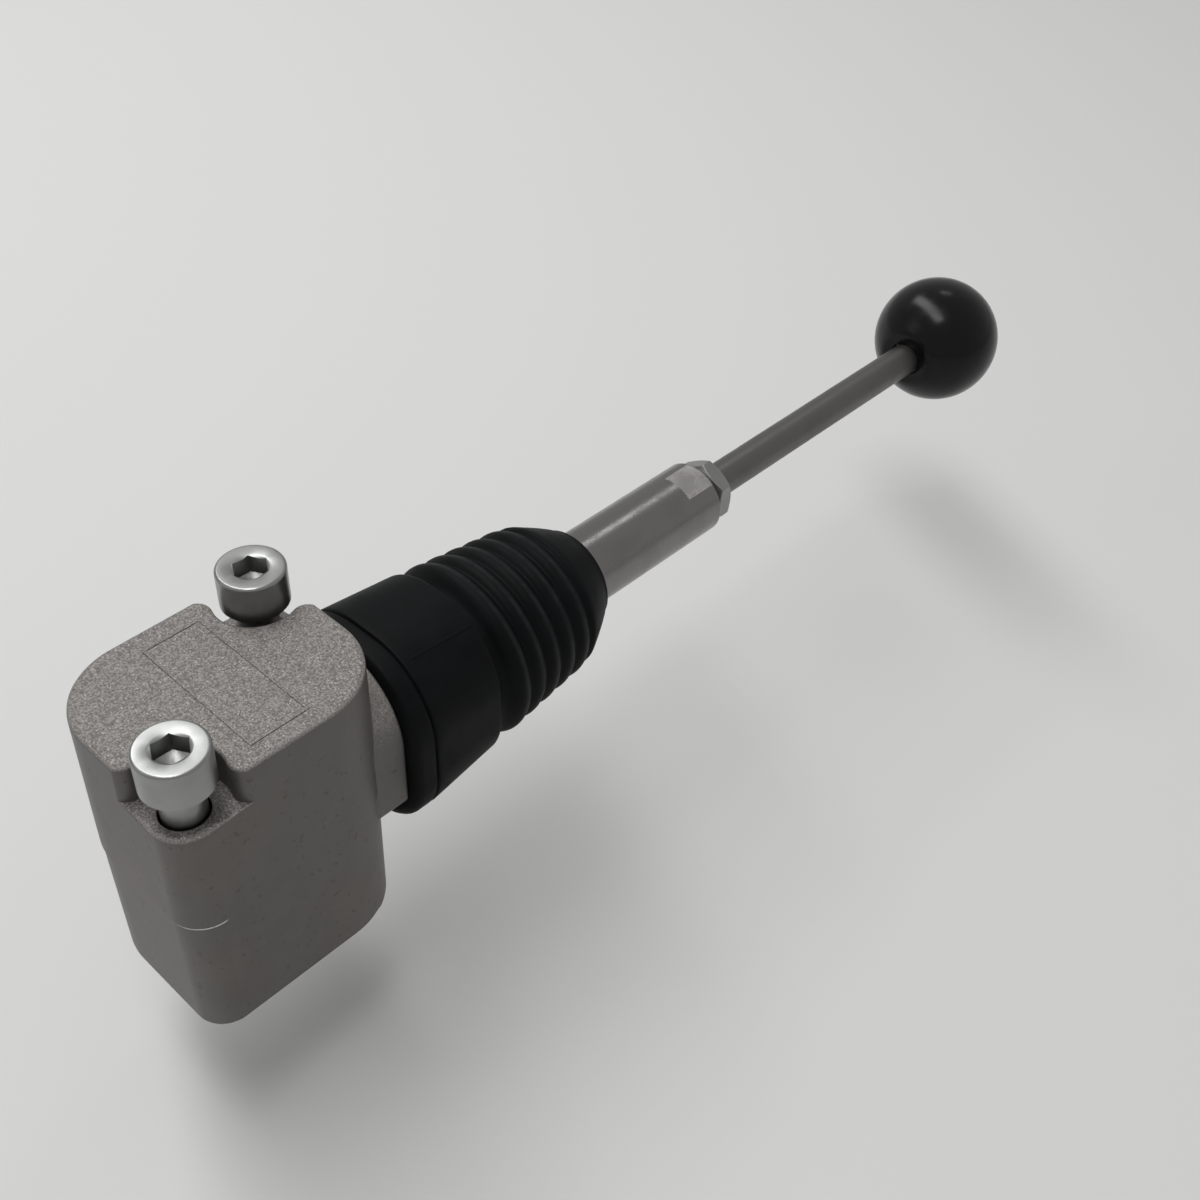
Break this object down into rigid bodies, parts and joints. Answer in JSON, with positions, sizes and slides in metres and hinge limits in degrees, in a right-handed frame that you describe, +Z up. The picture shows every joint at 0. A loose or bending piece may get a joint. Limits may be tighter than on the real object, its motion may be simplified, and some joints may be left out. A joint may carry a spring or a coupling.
{
  "type": "hydraulic control lever",
  "caption": "Hand lever for a directional valve: cast lever box with loose cap screws, rubber boot, steel hub and rod with a ball knob, pivoted on a pin.",
  "frame": {"origin": "centre of the spool bore in the plane of the mounting face, midway between the two cap screws", "axes": "+Z up the cap screws, away from the valve; +X outwards along the lever at its middle position; +Y across the lever"},
  "size_m": [0.266, 0.0406, 0.068],
  "materials": {
    "cast_aluminium": "die-cast, fine blasted top face, smoother sides",
    "zinc_screw": "bright zinc plating",
    "plain_steel": "zinc-plated sheet and fasteners",
    "hardened_steel": "ground and hardened",
    "satin_steel": "turned, satin zinc",
    "boot_rubber": "moulded matt rubber with a faint mould line",
    "seal_rubber": "smooth seal rubber",
    "bronze": "sintered bronze",
    "phenolic_black": "polished phenolic",
    "insert_brass": "turned brass"
  },
  "bodies": {
    "housing": {"housing": "cast_aluminium", "seal_ring": "seal_rubber", "retainer_plate": "plain_steel", "plate_screw_a": "plain_steel", "plate_screw_b": "plain_steel", "plate_screw_c": "plain_steel", "plate_screw_d": "plain_steel", "pivot_pin": "hardened_steel", "washer_near": "plain_steel", "washer_far": "plain_steel", "boot": "boot_rubber"},
    "lever": {"lever_arm": "hardened_steel", "eye_bush": "bronze", "lock_nut": "plain_steel", "hub": "satin_steel", "rod": "satin_steel", "rod_nut": "zinc_screw", "knob": "phenolic_black", "knob_insert": "insert_brass"},
    "screw_near": {"cap_screw_near": "zinc_screw"},
    "screw_far": {"cap_screw_far": "zinc_screw"}
  },
  "joints": [
    {"name": "lever_swing", "type": "hinge", "parent": "housing", "child": "lever", "pos_m": [0.02675, 0, 0.0325], "axis": [0, -1, 0], "range_deg": [-14, 14], "deforming": ["boot"]},
    {"name": "screw_near_slide", "type": "slide", "parent": "housing", "child": "screw_near", "axis": [0, 0, 1], "range_m": [-0.007, 0.045]},
    {"name": "screw_far_slide", "type": "slide", "parent": "housing", "child": "screw_far", "axis": [0, 0, 1], "range_m": [-0.007, 0.045]}
  ]
}
